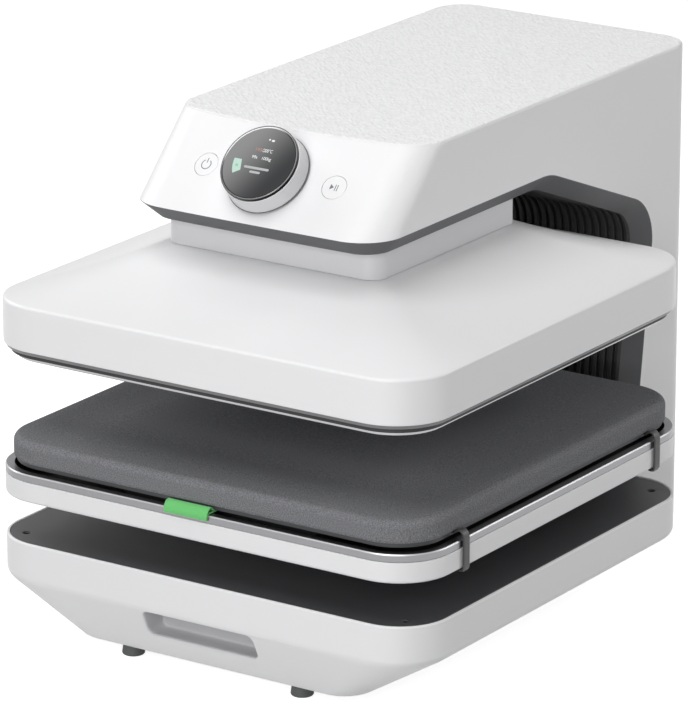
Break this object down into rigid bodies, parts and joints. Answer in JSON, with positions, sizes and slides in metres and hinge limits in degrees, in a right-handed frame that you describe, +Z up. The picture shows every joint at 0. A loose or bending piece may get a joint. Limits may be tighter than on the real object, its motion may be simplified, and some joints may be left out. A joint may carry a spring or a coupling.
{
  "type": "flat heat press",
  "caption": "Electric flat heat press: a C-shaped body lowers a square heated platen on a telescoping neck onto a padded bed over a tapered base.",
  "frame": {"origin": "on the ground under the middle of the machine's bounding box", "axes": "+Z up, -Y towards the user, +X to the user's right"},
  "size_m": [0.4072, 0.542, 0.4163],
  "materials": {
    "white_shell": "fine satin moulding, white",
    "neck_grey": "satin light grey",
    "grip_grey": "satin light grey",
    "dark_trim": "fine grain, dark grey",
    "black_grille": "matt black moulding",
    "ring_grey": "satin grey",
    "frame_steel": "black powder coat",
    "bright_steel": "ground steel",
    "bronze": "turned bronze",
    "motor_black": "black can",
    "plate_aluminium": "dark hard-coated casting",
    "rim_silver": "brushed and anodised, bright chamfer",
    "bezel_chrome": "polished thin ring",
    "mica": "mica board",
    "sensor_steel": "pressed can",
    "gasket_rubber": "black rubber",
    "runner_plastic": "low-friction plastic",
    "deck_grey": "charcoal powder coat",
    "pad_foam": "fine-grained silicone foam, charcoal",
    "clip_black": "black sprung plastic",
    "green_ribbon": "woven green ribbon",
    "screw_black": "blackened steel",
    "core_black": "black moulding",
    "display_glass": "smoked cover glass over a lit screen",
    "board_green": "circuit board",
    "supply_metal": "pressed case",
    "fan_black": "black moulding",
    "loom_black": "sleeved wires"
  },
  "bodies": {
    "root": {"body_shell": "white_shell", "rear_cover": "white_shell", "bed_tray": "white_shell", "base_tub": "white_shell", "hand_grip": "grip_grey", "throat_trim": "dark_trim", "throat_grille": "black_grille", "frame_cheek_left": "frame_steel", "frame_cheek_right": "frame_steel", "frame_cross_bars": "frame_steel", "press_top_plate": "frame_steel", "drive_lower_plate": "frame_steel", "bed_arm": "frame_steel", "guide_rods": "bright_steel", "drive_posts": "bright_steel", "screw_bearings": "bright_steel", "gear_motor": "motor_black", "tray_rim": "rim_silver", "rubber_feet": "gasket_rubber", "deck_runners": "runner_plastic", "base_plate": "deck_grey", "base_screws": "screw_black", "cover_screws": "screw_black", "front_board": "board_green", "control_board": "board_green", "power_supply": "supply_metal", "fan_frame": "fan_black", "power_inlet": "fan_black", "switch_housing": "fan_black", "wiring_loom": "loom_black"},
    "drive_screw": {"lead_screw": "bright_steel", "screw_gear": "bright_steel"},
    "pinion": {"motor_pinion": "bright_steel"},
    "platen": {"carrier_plate": "frame_steel", "lead_nut": "bronze", "load_cell": "bright_steel", "guide_bushes": "bronze", "neck_shroud": "neck_grey", "platen_cover": "white_shell", "platen_trim_ring": "ring_grey", "plate_gasket": "gasket_rubber", "insulation_board": "mica", "heater_element": "mica", "heat_plate": "plate_aluminium", "platen_standoffs": "bright_steel", "platen_sensors": "sensor_steel"},
    "sleeve": {"neck_sleeve": "neck_grey"},
    "dial": {"dial_core": "core_black", "display_module": "core_black", "display_glass": "display_glass"},
    "dial_turn": {"dial_ring": "white_shell", "dial_bezel": "bezel_chrome"},
    "power": {"power_button": "white_shell"},
    "start": {"start_button": "white_shell"},
    "rocker": {"rocker_switch": "fan_black"},
    "fan": {"fan_rotor": "fan_black"},
    "deck": {"deck_plate": "deck_grey", "press_pad": "pad_foam", "deck_clips": "clip_black", "pull_tab": "green_ribbon"}
  },
  "joints": [
    {"name": "platen_lift", "type": "slide", "parent": "root", "child": "platen", "axis": [0, 0, 1], "range_m": [-0.062, 0]},
    {"name": "sleeve_follow", "type": "slide", "parent": "root", "child": "sleeve", "axis": [0, 0, 1], "range_m": [-0.0271, 0]},
    {"name": "screw_spin", "type": "hinge", "parent": "root", "child": "drive_screw", "pos_m": [0, -0.067, 0.345], "axis": [0, 0, 1], "range_deg": [-1860.5, 0]},
    {"name": "pinion_spin", "type": "hinge", "parent": "root", "child": "pinion", "pos_m": [0, -0.017, 0.345], "axis": [0, 0, 1], "range_deg": [0, 5581.5]},
    {"name": "dial_press", "type": "slide", "parent": "root", "child": "dial", "axis": [0, -0.7292, 0.6843], "range_m": [-0.001, 0], "stiffness_N_per_m": 1500, "springref_m": 0.0005},
    {"name": "dial_spin", "type": "hinge", "parent": "dial", "child": "dial_turn", "pos_m": [0, -0.17051, 0.3831], "axis": [0, -0.7292, 0.6843], "continuous": true},
    {"name": "power_press", "type": "slide", "parent": "root", "child": "power", "axis": [0, -0.7292, 0.6843], "range_m": [-0.0008, 0], "stiffness_N_per_m": 600, "springref_m": 0.0005},
    {"name": "start_press", "type": "slide", "parent": "root", "child": "start", "axis": [0, -0.7292, 0.6843], "range_m": [-0.0008, 0], "stiffness_N_per_m": 600, "springref_m": 0.0005},
    {"name": "rocker_tilt", "type": "hinge", "parent": "root", "child": "rocker", "pos_m": [0.026, 0.262, 0.054], "axis": [1, 0, 0], "range_deg": [0, 20]},
    {"name": "fan_spin", "type": "hinge", "parent": "root", "child": "fan", "pos_m": [0, 0.26, 0.344], "axis": [0, 1, 0], "continuous": true},
    {"name": "deck_slide", "type": "slide", "parent": "root", "child": "deck", "axis": [0, -1, 0], "range_m": [0, 0.15]}
  ],
  "couplings": [
    {"joint": "sleeve_follow", "follows": "platen_lift", "ratio": 0.43548},
    {"joint": "screw_spin", "follows": "platen_lift", "rad_per_m": 523.6},
    {"joint": "pinion_spin", "follows": "platen_lift", "rad_per_m": -1570.8}
  ]
}
